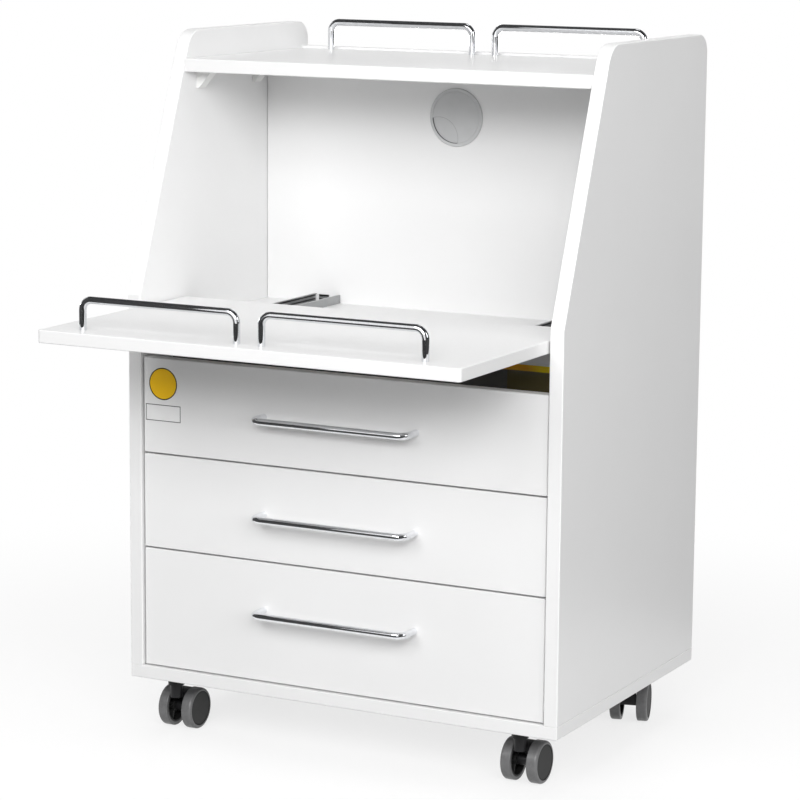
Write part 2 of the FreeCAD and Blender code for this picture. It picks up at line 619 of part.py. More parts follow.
# ---------------------------------------------------------------- mains inlet
def build_inlet():
    """A snap-in mains inlet with three pins, over a rocker switch."""
    outer_w, outer_h = "(inlet_w + 2 * inlet_flange)", "(inlet_h + 2 * inlet_flange)"
    x0, z0 = f"inlet_x - {outer_w} / 2", f"inlet_z - {outer_h} / 2"
    flange = box("inlet_flange_box", outer_w, "inlet_proud", outer_h, x0, REAR, z0)
    shell = box("inlet_shell", "inlet_w - 2 * inlet_play", "inlet_d", "inlet_h - 2 * inlet_play",
                "inlet_x - inlet_w / 2 + inlet_play", f"{REAR} - inlet_d",
                "inlet_z - inlet_h / 2 + inlet_play")
    floor = f"({REAR} + inlet_proud - socket_d)"
    socket_z = "(inlet_z - socket_drop)"
    socket = box("inlet_socket", "socket_w", "socket_d * 2", "socket_h", "inlet_x - socket_w / 2",
                 floor, f"{socket_z} - socket_h / 2")
    rocker_y, rocker_z = f"({REAR} - rocker_sink)", "(inlet_z + rocker_rise)"
    well_l = "(rocker_l + rocker_play * 2)"
    well = cylinder("inlet_well", "rocker_r + rocker_play", well_l, f"inlet_x - {well_l} / 2",
                    rocker_y, rocker_z, along="x")
    body = cut("inlet_cut", fuse("inlet_fused", flange, shell), socket, well)
    pins = [box(f"inlet_pin_{i}", "pin_w", "pin_l", "pin_h",
                f"inlet_x - pin_w / 2 + ({i}) * pin_pitch", f"{floor} - inlet_play",
                f"{socket_z} - pin_h / 2 + ({earth}) * earth_lift")
            for i, earth in ((-1, 0), (0, 1), (1, 0))]
    node(fuse("inlet_with_pins", body, *pins), "mains_inlet")
    drum = cylinder("rocker_drum", "rocker_r", "rocker_l", "inlet_x - rocker_l / 2", rocker_y,
                    rocker_z, along="x")
    trim = box("rocker_trim", "rocker_l * 2", "rocker_r * 2", "rocker_r * 4", "inlet_x - rocker_l",
               f"{REAR} + rocker_proud", f"{rocker_z} - rocker_r * 2")
    node(cut("rocker_cut", drum, trim), "inlet_rocker")


build_inlet()


# ---------------------------------------------------------------- castors
def build_castor(corner, x, y, turn):
    """A twin-wheel castor: plate with stem, swivelling hood with its axle, two wheels.

    It is drawn round its stem with the axle trailing towards +Y, then turned about the stem.
    """
    name = f"castor_{corner}"
    spin = FreeCAD.Rotation(FreeCAD.Vector(0, 0, 1), turn)

    def settle(piece, rotation=spin):
        piece.Placement.Rotation = rotation
        place(piece, x, y, "0")
        return piece

    def across(part, radius, width):
        """A cylinder round the axle, centred between the wheels."""
        return cylinder(f"{name}_{part}", radius, width, f"-({width}) / 2", "castor_trail",
                        "wheel_r", along="x")

    stem_top = "castor_h - stem_foot"
    flange = box(f"{name}_flange", "plate_w", "plate_w", "plate_t", "-plate_w / 2",
                 "-plate_w / 2", "castor_h - plate_t")
    holes = [cylinder(f"{name}_hole_{i}{j}", "plate_hole_d / 2", "plate_t * 3",
                      f"({i}) * plate_pitch / 2", f"({j}) * plate_pitch / 2",
                      "castor_h - plate_t * 2") for i in (-1, 1) for j in (-1, 1)]
    holes.append(cylinder(f"{name}_stem_hole", "stem_d / 2", stem_top, z="stem_foot"))
    plate = cut(f"{name}_plate_cut", flange, *holes)
    stem = cylinder(f"{name}_stem", "stem_d / 2", stem_top, z="stem_foot")
    node(settle(group(f"{name}_plate_group", plate, stem), FreeCAD.Rotation()), f"{name}_plate")

    # The hood: a cowl over the gap between the wheels, a web inside it, and the stem's boss.
    cowl_w = "(wheel_gap - 2 * wheel_play)"
    shell = cut(f"{name}_shell", across("cowl", "cowl_r", cowl_w),
                across("hollow", "cowl_r - cowl_t", "wheel_gap"))
    web = across("web", "cowl_r - cowl_t / 2", "cowl_web")
    below = box(f"{name}_below", "wheel_gap", "cowl_r * 2", "cowl_r", "-wheel_gap / 2",
                "castor_trail - cowl_r", "wheel_r - cowl_r")
    open_front = box(f"{name}_open_front", "wheel_gap", "cowl_r", "cowl_lip", "-wheel_gap / 2",
                     "castor_trail - cowl_r", "wheel_r")
    cowl = cut(f"{name}_cowl_cut", fuse(f"{name}_cowl_fused", shell, web), below, open_front)
    hub = across("hub", "wheel_hub_r", cowl_w)
    boss = cylinder(f"{name}_boss", "stem_d / 2 + stem_wall", "castor_h - plate_t - plate_play - boss_foot",
                    z="boss_foot")
    collar = cylinder(f"{name}_collar", "collar_r", "collar_h",
                      z="castor_h - plate_t - plate_play - collar_h")
    frame = fuse(f"{name}_frame", cowl, hub, boss, collar)
    stem_bore = cylinder(f"{name}_stem_bore", "stem_d / 2 + running_gap", "castor_h",
                         z="stem_foot - stem_play")
    hood = cut(f"{name}_hood_cut", frame, stem_bore, across("axle_bore", "axle_d / 2", "axle_l"))
    axle = across("axle", "axle_d / 2", "axle_l")
    node(settle(group(f"{name}_hood_group", hood, axle)), f"{name}_hood")

    for side, flip in (("left", 180), ("right", 0)):
        halves = build_wheel(f"{name}_wheel_{side}")
        for part in halves:
            part.Placement.Rotation = FreeCAD.Rotation(FreeCAD.Vector(0, 0, 1), flip)
            place(part, "0", "castor_trail", "wheel_r")
        node(settle(group(f"{name}_wheel_{side}_group", *halves)), f"{name}_wheel_{side}")


def build_wheel(name):
    """A moulded core with ribs inside and a soft tread over it, on an axle along X."""
    near, far = "wheel_gap / 2", "(wheel_gap / 2 + wheel_w)"
    bore, rim = "(axle_d / 2 + running_gap)", "(wheel_r - tread_t)"
    bore_end, web = "(axle_l / 2 + wheel_play)", f"({far} - wheel_web)"
    inner, outer = f"({near} + wheel_step)", f"({far} - wheel_cap)"
    core = new_body(f"{name}_core")
    profile = [(inner, bore), (bore_end, bore), (bore_end, "0"), (outer, "0"),
               (outer, f"{rim} - wheel_step * 2"), (f"{outer} - wheel_step", f"{rim} - wheel_step"),
               (f"{outer} - wheel_step", rim), (near, rim), (near, f"{rim} - rib_t"),
               (web, f"{rim} - rib_t"), (web, "wheel_hub_r"), (inner, "wheel_hub_r")]
    revolve(core, polygon(core, "XY_Plane", profile), "X_Axis")
    rib_near, rib_far = f"({near} + rib_t * 2)", f"({web} + wheel_step)"
    rib_low, rib_high = "(wheel_hub_r - wheel_step)", f"({rim} - rib_t / 2)"
    rib = [(rib_near, rib_low), (rib_far, rib_low), (rib_far, rib_high), (rib_near, rib_high)]
    first = pad(core, polygon(core, "XY_Plane", rib, offset="-rib_t / 2"), "rib_t")
    spokes = core.newObject("PartDesign::PolarPattern", f"{name}_spokes")
    spokes.Originals = [first]
    spokes.Axis = (origin_plane(core, "X_Axis"), [""])
    spokes.Angle = 360
    spokes.Occurrences = 5
    core.Tip = spokes

    tread = new_body(f"{name}_tread")
    band = [(near, rim), (far, rim), (far, "wheel_r"), (near, "wheel_r")]
    revolve(tread, polygon(tread, "XY_Plane", band), "X_Axis")
    radius, middle = number("wheel_r"), number(f"{near} + wheel_w / 2")

    def shoulder(edge, outside):
        on_rim = edge.Curve.TypeId == "Part::GeomCircle" and abs(edge.Curve.Radius - radius) < 0.01
        return on_rim and (edge.Curve.Center.x > middle) == outside

    fillet(tread, "tread_r", lambda edge: shoulder(edge, True))
    fillet(tread, "tread_inner_r", lambda edge: shoulder(edge, False))
    return core, tread


LEFT_STEM, RIGHT_STEM = "-width / 2 + castor_left", "width / 2 - castor_right"
FRONT_STEM, REAR_STEM = f"{FRONT} + castor_inset_y", f"{REAR} - castor_inset_y"
build_castor("front_left", LEFT_STEM, FRONT_STEM, 0)
build_castor("front_right", RIGHT_STEM, FRONT_STEM, 0)
build_castor("rear_left", LEFT_STEM, REAR_STEM, 180)
build_castor("rear_right", RIGHT_STEM, REAR_STEM, 195)


# ---------------------------------------------------------------- checks and export
doc.recompute()
failed = [thing.Label for thing in doc.Objects if {"Invalid", "Error"} & set(thing.State)]
if failed:
    raise RuntimeError(f"features failed: {failed}")
for piece in nodes:
    if piece.Shape.isNull() or not piece.Shape.isValid() or not piece.Shape.Solids:
        raise RuntimeError(f"{piece.Label}: its shape is not a valid solid")

os.makedirs("parts", exist_ok=True)
for piece in nodes:
    piece.Shape.exportStep(f"parts/{piece.Label}.step")
print(f"{len(nodes)} nodes written")
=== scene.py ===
"""Looks of the mobile treatment cabinet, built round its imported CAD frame. Metres, +Z up."""

import json
import math

import bpy
from mathutils import Matrix, Vector

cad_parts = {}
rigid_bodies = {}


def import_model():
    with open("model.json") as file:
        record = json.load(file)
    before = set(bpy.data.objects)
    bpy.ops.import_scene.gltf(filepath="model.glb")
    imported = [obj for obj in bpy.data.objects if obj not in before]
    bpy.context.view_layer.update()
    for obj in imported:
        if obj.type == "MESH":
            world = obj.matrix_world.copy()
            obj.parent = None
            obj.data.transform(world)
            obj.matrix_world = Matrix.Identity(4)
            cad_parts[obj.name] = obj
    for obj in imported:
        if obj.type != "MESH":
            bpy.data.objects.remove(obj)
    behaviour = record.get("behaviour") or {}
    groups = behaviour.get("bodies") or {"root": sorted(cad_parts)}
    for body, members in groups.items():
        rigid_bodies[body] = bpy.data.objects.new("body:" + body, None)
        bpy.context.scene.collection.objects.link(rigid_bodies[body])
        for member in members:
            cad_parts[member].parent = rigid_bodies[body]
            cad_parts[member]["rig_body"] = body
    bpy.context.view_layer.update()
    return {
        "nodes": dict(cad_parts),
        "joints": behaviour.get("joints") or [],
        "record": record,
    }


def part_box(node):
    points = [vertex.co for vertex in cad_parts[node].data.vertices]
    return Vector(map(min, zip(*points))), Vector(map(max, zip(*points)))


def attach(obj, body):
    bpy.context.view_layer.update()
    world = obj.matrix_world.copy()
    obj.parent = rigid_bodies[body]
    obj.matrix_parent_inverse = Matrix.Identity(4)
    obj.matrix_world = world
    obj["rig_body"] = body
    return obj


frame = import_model()
NODES = frame["nodes"]

# ---------------------------------------------------------------- camera
CAMERA_AT = Vector((1.52238, -2.86787, 0.97470))
CAMERA_AZIMUTH, CAMERA_ELEVATION, CAMERA_ROLL = (math.radians(a) for a in (27.483, 10.007, 0.479))
CAMERA_LENS = 132.32  # millimetres on a 36 mm sensor


def build_camera():
    sin_a, cos_a = math.sin(CAMERA_AZIMUTH), math.cos(CAMERA_AZIMUTH)
    sin_e, cos_e = math.sin(CAMERA_ELEVATION), math.cos(CAMERA_ELEVATION)
    sin_r, cos_r = math.sin(CAMERA_ROLL), math.cos(CAMERA_ROLL)
    back = Vector((sin_a * cos_e, -cos_a * cos_e, sin_e))
    level = Vector((cos_a, sin_a, 0))
    up = back.cross(level)
    right = level * cos_r + up * sin_r
    top = up * cos_r - level * sin_r
    data = bpy.data.cameras.new("camera")
    data.lens = CAMERA_LENS
    data.clip_end = 50
    camera = bpy.data.objects.new("camera", data)
    camera.matrix_world = Matrix((right, top, back)).transposed().to_4x4()
    camera.location = CAMERA_AT
    bpy.context.scene.collection.objects.link(camera)
    bpy.context.scene.camera = camera


build_camera()

# ---------------------------------------------------------------- shader helpers
NOISE_LOW, NOISE_HIGH = 0.3, 0.7  # where most of a noise's values lie
FEATHER = 0.0002  # metres over which the edge of a mask fades
MARGIN = 0.001  # metres that a mask reaches past the faces that it colours
ALONG_Y = (0, 1, 0)


class Shader:
    """A node material with short ways to add and link nodes."""

    def __init__(self, name):
        self.material = bpy.data.materials.new(name)
        self.material.use_nodes = True
        self.tree = self.material.node_tree
        self.tree.nodes.clear()
        self.out = self.add("ShaderNodeOutputMaterial")
        self.principled = self.add("ShaderNodeBsdfPrincipled")
        self.link(self.principled, "BSDF", self.out, "Surface")
        self.place = self.add("ShaderNodeTexCoord").outputs["Object"]

    def add(self, kind, **settings):
        node = self.tree.nodes.new(kind)
        for key, value in settings.items():
            setattr(node, key, value)
        return node

    def link(self, source, output, target, socket):
        self.tree.links.new(source.outputs[output], target.inputs[socket])

    def set(self, **sockets):
        for key, value in sockets.items():
            self.principled.inputs[key.replace("_", " ")].default_value = value

    def noise(self, scale, detail=2.0, roughness=0.5, stretch=(1, 1, 1), seed=0.0):
        """Noise in 0..1 with features about 1 / scale metres wide, times stretch."""
        mapping = self.add("ShaderNodeMapping")
        mapping.inputs["Location"].default_value = (seed, seed * 1.7, seed * 2.3)
        mapping.inputs["Scale"].default_value = tuple(scale / s for s in stretch)
        self.tree.links.new(self.place, mapping.inputs["Vector"])
        noise = self.add("ShaderNodeTexNoise")
        noise.inputs["Scale"].default_value = 1.0
        noise.inputs["Detail"].default_value = detail
        noise.inputs["Roughness"].default_value = roughness
        self.link(mapping, "Vector", noise, "Vector")
        return noise.outputs["Fac"]

    def span(self, value, low, high, start=0.0, end=1.0):
        """Map a value from start..end onto low..high, and hold it beyond them."""
        node = self.add("ShaderNodeMapRange")
        node.inputs["From Min"].default_value = start
        node.inputs["From Max"].default_value = end
        node.inputs["To Min"].default_value = low
        node.inputs["To Max"].default_value = high
        self.tree.links.new(value, node.inputs["Value"])
        return node.outputs["Result"]

    def vary(self, noise, low, high):
        """Spread a noise over low..high."""
        return self.span(noise, low, high, NOISE_LOW, NOISE_HIGH)

    def ramp(self, value, first, second, start=NOISE_LOW, end=NOISE_HIGH):
        """Blend from one colour at start to another at end."""
        node = self.add("ShaderNodeValToRGB")
        elements = node.color_ramp.elements
        elements[0].position, elements[0].color = start, (*first, 1)
        elements[1].position, elements[1].color = end, (*second, 1)
        self.tree.links.new(value, node.inputs["Fac"])
        return node.outputs["Color"]

    def mix(self, share, first, second):
        """Mix two colours; each is a tuple or an output socket."""
        node = self.add("ShaderNodeMixRGB")
        self.tree.links.new(share, node.inputs["Fac"])
        for socket, colour in (("Color1", first), ("Color2", second)):
            if isinstance(colour, tuple):
                node.inputs[socket].default_value = (*colour, 1)
            else:
                self.tree.links.new(colour, node.inputs[socket])
        return node.outputs["Color"]

    def math(self, operation, first, second=0.0):
        """A Math node; each input is a number or an output socket."""
        node = self.add("ShaderNodeMath", operation=operation)
        for socket, value in zip(node.inputs, (first, second)):
            if isinstance(value, float):
                socket.default_value = value
            else:
                self.tree.links.new(value, socket)
        return node.outputs[0]

    def axis(self, index):
        """One coordinate of the point, in metres: 0 is X, 1 is Y and 2 is Z."""
        node = self.add("ShaderNodeSeparateXYZ")
        self.tree.links.new(self.place, node.inputs[0])
        return node.outputs[index]

    def radius(self, centre, direction):
        """Distance of the point from a line through centre, in metres."""
        offset = self.add("ShaderNodeVectorMath", operation="SUBTRACT")
        self.tree.links.new(self.place, offset.inputs[0])
        offset.inputs[1].default_value = centre
        cross = self.add("ShaderNodeVectorMath", operation="CROSS_PRODUCT")
        self.link(offset, "Vector", cross, 0)
        cross.inputs[1].default_value = Vector(direction).normalized()
        length = self.add("ShaderNodeVectorMath", operation="LENGTH")
        self.link(cross, "Vector", length, 0)
        return length.outputs["Value"]

    def above(self, value, limit, feather=FEATHER):
        """1 from the limit up, fading to 0 over the feather below it."""
        return self.span(value, 0, 1, limit - feather, limit)

    def below(self, value, limit, feather=FEATHER):
        """1 up to the limit, fading to 0 over the feather above it."""
        return self.span(value, 1, 0, limit, limit + feather)

    def inside(self, low, high):
        """1 inside the box between two corners and 0 outside it."""
        mask = 1.0
        for index in range(3):
            value = self.axis(index)
            within = self.math("MULTIPLY", self.above(value, low[index]),
                               self.below(value, high[index]))
            mask = self.math("MULTIPLY", within, mask)
        return mask

    def drive(self, **sockets):
        for key, output in sockets.items():
            self.tree.links.new(output, self.principled.inputs[key.replace("_", " ")])

    def bump(self, height, depth):
        """Raise the surface by up to the depth, in metres, where the height is 1."""
        node = self.add("ShaderNodeBump")
        node.inputs["Distance"].default_value = depth
        self.tree.links.new(height, node.inputs["Height"])
        self.link(node, "Normal", self.principled, "Normal")


def tint(colour, factor):
    return tuple(min(c * factor, 1.0) for c in colour)


def melamine(name, colour, roughness=0.34):
    """Satin white board: a fine pearl texture and faint cloudy variation."""
    shader = Shader(name)
    cloud = shader.noise(9, detail=3, seed=1.3)
    shader.drive(Base_Color=shader.ramp(cloud, tint(colour, 0.985), colour, 0.25, 0.75))
    shine = shader.noise(420, detail=2, seed=4.1)
    shader.drive(Roughness=shader.vary(shine, roughness - 0.05, roughness + 0.07))
    shader.bump(shader.noise(1900, detail=2, seed=2.2), depth=0.00003)
    return shader.material


def plastic(name, colour, roughness=0.45, pitch=900, spread=0.06, shine=0.5):
    """Moulded plastic with a fine spark-eroded texture."""
    shader = Shader(name)
    shader.set(Specular_IOR_Level=shine)
    patch = shader.noise(60, detail=3, seed=0.7)
    tones = tint(colour, 1 - spread), tint(colour, 1 + spread)
    shader.drive(Base_Color=shader.ramp(patch, *tones))
    grain = shader.noise(pitch, detail=2, seed=3.9)
    shader.drive(Roughness=shader.vary(grain, roughness - 0.06, roughness + 0.08))
    shader.bump(grain, depth=0.00004)
    return shader.material


def metal(name, colour, roughness, stretch=(1, 1, 1), pitch=600, depth=0.00001, spread=0.05):
    """Plated or rolled metal, with streaks along its stretch."""
    shader = Shader(name)
    shader.set(Metallic=1.0)
    streak = shader.noise(pitch, detail=3, stretch=stretch, seed=5.3)
    tones = tint(colour, 1 - spread), tint(colour, 1 + spread)
    shader.drive(Base_Color=shader.ramp(streak, *tones))
    shader.drive(Roughness=shader.vary(streak, roughness * 0.75, roughness * 1.3))
    shader.bump(streak, depth)
    return shader.material


TRACK_HEIGHTS = (0.0034, 0.0078)  # metres above the channel's floor
TRACK_HALF = 0.0009
FLANGE_SKIN = 0.0003  # keeps the tracks off the flanges' outer faces
# colour of the painted shade in the ball-track grooves
TRACK_SHADE = (0.06, 0.06, 0.058)


def slide_channel(name, node):
    """Rolled steel of a slide's outer member, with painted shade along the grooves of its ball
    tracks.
    """
    shader = Shader(name)
    low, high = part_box(node)
    shaded_tracks = 0.0
    for height in TRACK_HEIGHTS:
        z = low.z + height
        line = shader.inside((low.x + FLANGE_SKIN, low.y - MARGIN, z - TRACK_HALF),
                             (high.x - FLANGE_SKIN, high.y + MARGIN, z + TRACK_HALF))
        shaded_tracks = shader.math("MAXIMUM", line, shaded_tracks)
    streak = shader.noise(900, detail=2, stretch=(1, 0.1, 1), seed=5.3)
    zinc = shader.ramp(streak, (0.37, 0.375, 0.38), (0.39, 0.395, 0.40))
    # painted shade in the ball-track grooves over the zinc
    shader.drive(Base_Color=shader.mix(shaded_tracks, zinc, TRACK_SHADE))
    shader.set(Metallic=1.0)
    shader.drive(Roughness=shader.vary(streak, 0.26, 0.40))
    shader.bump(streak, depth=0.00001)
    return shader.material


GROMMET_AT = (0, 0, 0.705)
NOTCH_AT = (-0.0218, 0, 0.6802)
NOTCH_R = 0.0245
SEAT_R = 0.030
NOTCH_FADE = 0.0004
SEAM = 0.0003  # metres that the painted seam shade shows outside the notch and inside the seat
# strength of the painted seam shade on the lid and on the ring's seat, and its colour
LID_SEAM_SHARE, SEAT_SEAM_SHARE = 0.45, 0.8
SEAM_PAINTED_SHADE = (0.035, 0.035, 0.036)


def grommet_plastic(name, lid):
    """Grey moulding with painted shade along the seam where the lid's cable notch meets the ring.
    """
    shader = Shader(name)
    notch = shader.radius(NOTCH_AT, ALONG_Y)
    if lid:
        seam = shader.math("MULTIPLY", shader.below(notch, NOTCH_R + SEAM), LID_SEAM_SHARE)
    else:
        far = shader.radius(GROMMET_AT, ALONG_Y)
        ring = shader.math("MULTIPLY", shader.above(far, SEAT_R - SEAM),
                           shader.below(far, SEAT_R + FEATHER))
        seam = shader.math("MULTIPLY", ring, shader.below(notch, NOTCH_R, NOTCH_FADE))
        seam = shader.math("MULTIPLY", seam, SEAT_SEAM_SHARE)
    patch = shader.noise(60, detail=3, seed=0.7)
    grey = shader.ramp(patch, (0.53, 0.535, 0.54), (0.56, 0.565, 0.57))
    # painted shade in the seam over the grey
    shader.drive(Base_Color=shader.mix(seam, grey, SEAM_PAINTED_SHADE))
    grain = shader.noise(900, detail=2, seed=3.9)
    shader.drive(Roughness=shader.vary(grain, 0.36, 0.50))
    shader.bump(grain, depth=0.00004)
    return shader.material


HUB_RIM_R, HUB_FADE = 0.0200, 0.0003
HUB_BLACK = (0.011, 0.011, 0.011)
TREAD_GREY = (0.145, 0.145, 0.147)


def castor_wheel(name, centre, direction):
    """A grey rubber tread round a black hub, told apart by their distance from the axle."""
    shader = Shader(name)
    far = shader.radius(centre, direction)
    tread = shader.above(far, HUB_RIM_R + HUB_FADE, HUB_FADE)
    scuff = shader.noise(240, detail=4, roughness=0.65, seed=2.9)
    rubber = shader.ramp(scuff, tint(TREAD_GREY, 0.88), tint(TREAD_GREY, 1.12), end=0.72)
    shader.drive(Base_Color=shader.mix(tread, HUB_BLACK, rubber))
    shader.drive(Roughness=shader.span(tread, 0.60, 0.36))
    shader.bump(shader.noise(1100, detail=2, seed=6.4), depth=0.00003)
    return shader.material


PAINTED_GLOW_BAND = (0.0074, 0.0064)  # metres below the sheet's top where the painted glow of light on the bent top fades in
# painted light and shade along X: the glow turns from orange to yellow, the shade from grey to
# olive
GLOW_ORANGE_TO_YELLOW_X = (0.196, 0.212)
SHADE_GREY_TO_OLIVE_X = (0.1725, 0.1735)
# colours of the painted glow, then of the painted shade below it
GLOW_ORANGE, GLOW_YELLOW = (0.90, 0.42, 0.012), (0.98, 0.72, 0.012)
SHADE_GREY, SHADE_OLIVE = (0.20, 0.197, 0.185), (0.22, 0.185, 0.085)


def amber_sheet(name):
    """Amber acrylic that stops ultraviolet, with a painted glow of light along its bent top and
    painted shade below it.
    """
    shader = Shader(name)
    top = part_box("uv_shield")[1].z
    haze = shader.noise(150, detail=3, seed=8.2)
    # painted glow band along the top; painted shade below it, which lets half the light through
    glow_band = shader.span(shader.axis(2), 0, 1, top - PAINTED_GLOW_BAND[0], top - PAINTED_GLOW_BAND[1])
    glow = shader.mix(shader.span(shader.axis(0), 0, 1, *GLOW_ORANGE_TO_YELLOW_X), GLOW_ORANGE, GLOW_YELLOW)
    clear = shader.mix(shader.span(shader.axis(0), 0, 1, *SHADE_GREY_TO_OLIVE_X), SHADE_GREY, SHADE_OLIVE)
    shader.drive(Base_Color=shader.mix(glow_band, clear, glow))
    shader.drive(Transmission_Weight=shader.span(glow_band, 0.5, 0.0))
    shader.drive(Roughness=shader.vary(haze, 0.06, 0.16))
    shader.set(IOR=1.49)
    return shader.material


TUBE_CAP, CAP_FADE = 0.0118, 0.0004
CAP_NICKEL = (0.60, 0.60, 0.61)


def lamp_tube(name):
    """Clear quartz between two nickel end caps."""
    shader = Shader(name)
    cap_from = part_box("uv_tube")[1].x - TUBE_CAP
    cap = shader.above(shader.math("ABSOLUTE", shader.axis(0)), cap_from, CAP_FADE)
    smoke = shader.noise(90, detail=3, stretch=(3, 1, 1), seed=7.7)
    glass = shader.ramp(smoke, (0.74, 0.80, 0.86), (0.82, 0.87, 0.92))
    shader.drive(Base_Color=shader.mix(cap, glass, CAP_NICKEL))
    shader.drive(Metallic=cap, Transmission_Weight=shader.span(cap, 0.55, 0.0))
    shader.drive(Roughness=shader.vary(smoke, 0.05, 0.14))
    return shader.material


SOCKET_DROP = 0.011  # metres from the inlet's middle down to its socket's
PIN_PLACES = ((-0.007, 0.0), (0.0, 0.003), (0.007, 0.0))
PIN_HALF_W, PIN_HALF_H = 0.0011, 0.0024
PIN_ROOT = 0.002  # metres from the inlet's inner end, towards its rear face
NICKEL = (0.62, 0.60, 0.55)


def inlet_moulding(name):
    """Black moulding of the mains inlet with three nickel pins in its socket."""
    shader = Shader(name)
    low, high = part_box("mains_inlet")
    middle = (low + high) / 2
    pins = 0.0
    for dx, dz in PIN_PLACES:
        x, z = middle.x + dx, middle.z - SOCKET_DROP + dz
        pin = shader.inside((x - PIN_HALF_W, low.y + PIN_ROOT, z - PIN_HALF_H),
                            (x + PIN_HALF_W, high.y, z + PIN_HALF_H))
        pins = shader.math("MAXIMUM", pin, pins)
    grain = shader.noise(700, detail=2, seed=3.1)
    black = shader.ramp(grain, (0.014, 0.014, 0.015), (0.020, 0.020, 0.021))
    shader.drive(Base_Color=shader.mix(pins, black, NICKEL), Metallic=pins)
    shader.drive(Roughness=shader.vary(grain, 0.36, 0.48))
    shader.bump(grain, depth=0.00003)
    return shader.material


MARK_RISE = 0.165  # share of the rocker's height from its middle to each mark
RING_INSIDE, RING_OUTSIDE, RING_FADE = 0.0010, 0.0015, 0.0001
BAR_HALF_W, BAR_HALF_H = 0.00035, 0.0015
PRINT_WHITE = (0.88, 0.88, 0.88)


def rocker_moulding(name):
    """Black rocker with the usual bar and ring for on and off, printed in white."""
    shader = Shader(name)
    low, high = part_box("inlet_rocker")
    middle = (low + high) / 2
    rise = (high.z - low.z) * MARK_RISE
    far = shader.radius((middle.x, 0, middle.z - rise), ALONG_Y)
    ring = shader.math("MULTIPLY", shader.above(far, RING_INSIDE, RING_FADE),
                       shader.below(far, RING_OUTSIDE, RING_FADE))
    bar_z = middle.z + rise
    bar = shader.inside((middle.x - BAR_HALF_W, middle.y, bar_z - BAR_HALF_H),
                        (middle.x + BAR_HALF_W, high.y + MARGIN, bar_z + BAR_HALF_H))
    marks = shader.math("MAXIMUM", ring, bar)
    grain = shader.noise(700, detail=2, seed=3.1)
    black = shader.ramp(grain, (0.012, 0.012, 0.013), (0.018, 0.018, 0.019))
    shader.drive(Base_Color=shader.mix(marks, black, PRINT_WHITE))
    shader.drive(Roughness=shader.vary(grain, 0.30, 0.40))
    return shader.material


WHITE = (0.82, 0.82, 0.82)
MATERIALS = {  # by material slot; nodes with masks of their own are made in node_material
    "melamine": melamine("melamine", WHITE),
    "drawer_board": melamine("drawer_foil", tint(WHITE, 0.97), roughness=0.42),
    "tray_board": melamine("tray_lacquer", tint(WHITE, 0.96), roughness=0.48),
    "chrome_wire": metal("chrome", (0.80, 0.81, 0.83), 0.055, pitch=300, depth=0.000003),
    "zinc_steel": metal("zinc_plate", (0.40, 0.405, 0.41), 0.30, stretch=(1, 12, 1), pitch=1500,
                        depth=0.000001, spread=0.03),
    "white_plastic": plastic("white_plastic", (0.80, 0.80, 0.79), spread=0.02),
    "black_plastic": plastic("black_plastic", (0.012, 0.012, 0.013), roughness=0.36, shine=0.28),
    "black_steel": plastic("powder_coat", (0.02, 0.02, 0.02), roughness=0.5, pitch=1300),
    "quartz_glass": lamp_tube("quartz"),
    "ballast_case": plastic("ballast_paint", (0.70, 0.70, 0.69), roughness=0.4, spread=0.02),
    "amber_acrylic": amber_sheet("amber"),
}
SCREW_METAL = metal("zinc_screw", (0.62, 0.62, 0.61), 0.25, pitch=900)
ROLL = {joint["child"]: joint for joint in frame["joints"] if joint["name"].endswith("_roll")}


def node_material(part):
    name, slot = part["node"], part["material_slot"]
    if name == "inlet_rocker":
        return rocker_moulding("rocker_moulding")
    if slot == "castor_wheel":
        joint = ROLL[NODES[name]["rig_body"]]
        return castor_wheel(name + "_rubber", joint["pos_m"], joint["axis"])
    if name == "mains_inlet":
        return inlet_moulding("inlet_moulding")
    if slot == "grey_plastic":
        return grommet_plastic(name + "_plastic", name == "grommet_lid")
    if name.startswith("worktop_slide_outer"):
        return slide_channel(name + "_steel", name)
    return MATERIALS[slot]


for part in frame["record"]["subparts"]:
    data = NODES[part["node"]].data
    data.materials.clear()
    data.materials.append(node_material(part))


# ---------------------------------------------------------------- stickers and screws
def add_piece(name, vertices, faces, material, body, smooth=False):
    mesh = bpy.data.meshes.new(name)
    mesh.from_pydata(vertices, [], faces)
    mesh.materials.append(material)
    mesh.validate()
    mesh.polygons.foreach_set("use_smooth", [smooth] * len(mesh.polygons))
    piece = bpy.data.objects.new(name, mesh)
    bpy.context.scene.collection.objects.link(piece)
    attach(piece, body)
    return piece


def rings_to_mesh(rings):
    """Vertices and faces of a closed skin through rings of equal length, capped at both ends."""
    count = len(rings[0])
    vertices = [point for ring in rings for point in ring]
    faces = []
    for level in range(len(rings) - 1):
        for i in range(count):
            j = (i + 1) % count
            a, b = level * count, (level + 1) * count
            faces.append((a + i, a + j, b + j, b + i))
    faces.append(tuple(reversed(range(count))))
    faces.append(tuple(range((len(rings) - 1) * count, len(rings) * count)))
    return vertices, faces


def rounded_outline(width, height, corner, steps=8):
    """Points round a rectangle with round corners, anticlockwise about its middle."""
    points = []
    for sx, sy, start in ((1, -1, -90), (1, 1, 0), (-1, 1, 90), (-1, -1, 180)):
        for k in range(steps + 1):
            turn = math.radians(start + 90 * k / steps)
            points.append((sx * (width / 2 - corner) + corner * math.cos(turn),
                           sy * (height / 2 - corner) + corner * math.sin(turn)))
    return points


def turns(count):
    """The angles of points that stand evenly round a circle."""
    return [2 * math.pi * k / count for k in range(count)]


STICKER_T = 0.00014  # metres
STICKER_PROFILE = ((1.0, 0.0), (1.0, 0.6), (0.975, 1.0))  # outline's scale, share of STICKER_T


